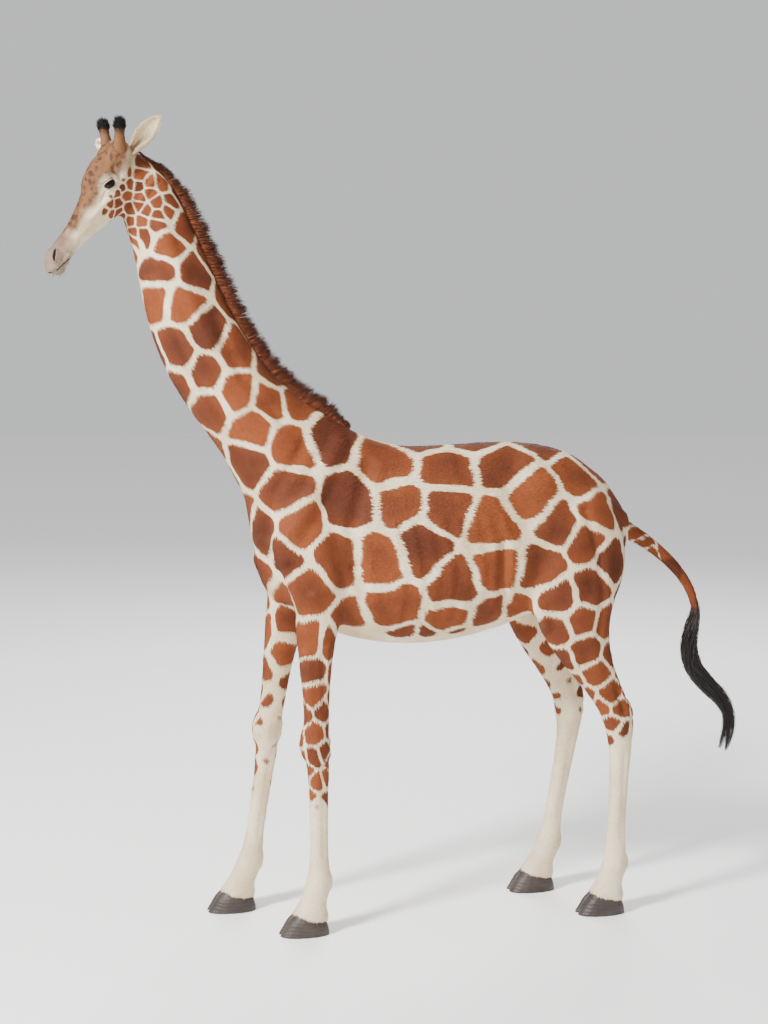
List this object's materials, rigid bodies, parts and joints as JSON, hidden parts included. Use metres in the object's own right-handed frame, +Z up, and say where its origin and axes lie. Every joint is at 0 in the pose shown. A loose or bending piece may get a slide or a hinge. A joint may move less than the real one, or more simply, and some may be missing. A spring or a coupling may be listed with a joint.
{
  "type": "reticulated giraffe",
  "caption": "Life-size standing giraffe with patched coat, sloping neck, turned head, short mane, striding legs, cloven hooves and tufted tail.",
  "frame": {"origin": "on the ground, under the middle of the bounding box", "axes": "+Z up, the giraffe faces -Y, and its left side is at +X"},
  "size_m": [0.6878, 3.6532, 4.1156],
  "materials": {
    "coat": "short flat hair, chestnut patches parted by narrow cream lines",
    "mane": "short stiff upright hair",
    "tail_hair": "long coarse black hair",
    "ossicone": "hair-covered horn with a dark tuft",
    "eye": "wet gloss, dark brown",
    "hoof": "satin horn"
  },
  "bodies": {
    "root": {"trunk": "coat", "neck": "coat", "head": "coat", "left_ear": "coat", "right_ear": "coat", "left_foreleg": "coat", "right_foreleg": "coat", "left_hindleg": "coat", "right_hindleg": "coat", "tail": "coat", "mane": "mane", "tail_tuft": "tail_hair", "left_ossicone": "ossicone", "right_ossicone": "ossicone", "left_eye": "eye", "right_eye": "eye", "left_fore_outer_hoof": "hoof", "left_fore_inner_hoof": "hoof", "left_hind_outer_hoof": "hoof", "left_hind_inner_hoof": "hoof", "right_fore_outer_hoof": "hoof", "right_fore_inner_hoof": "hoof", "right_hind_outer_hoof": "hoof", "right_hind_inner_hoof": "hoof"}
  },
  "joints": []
}
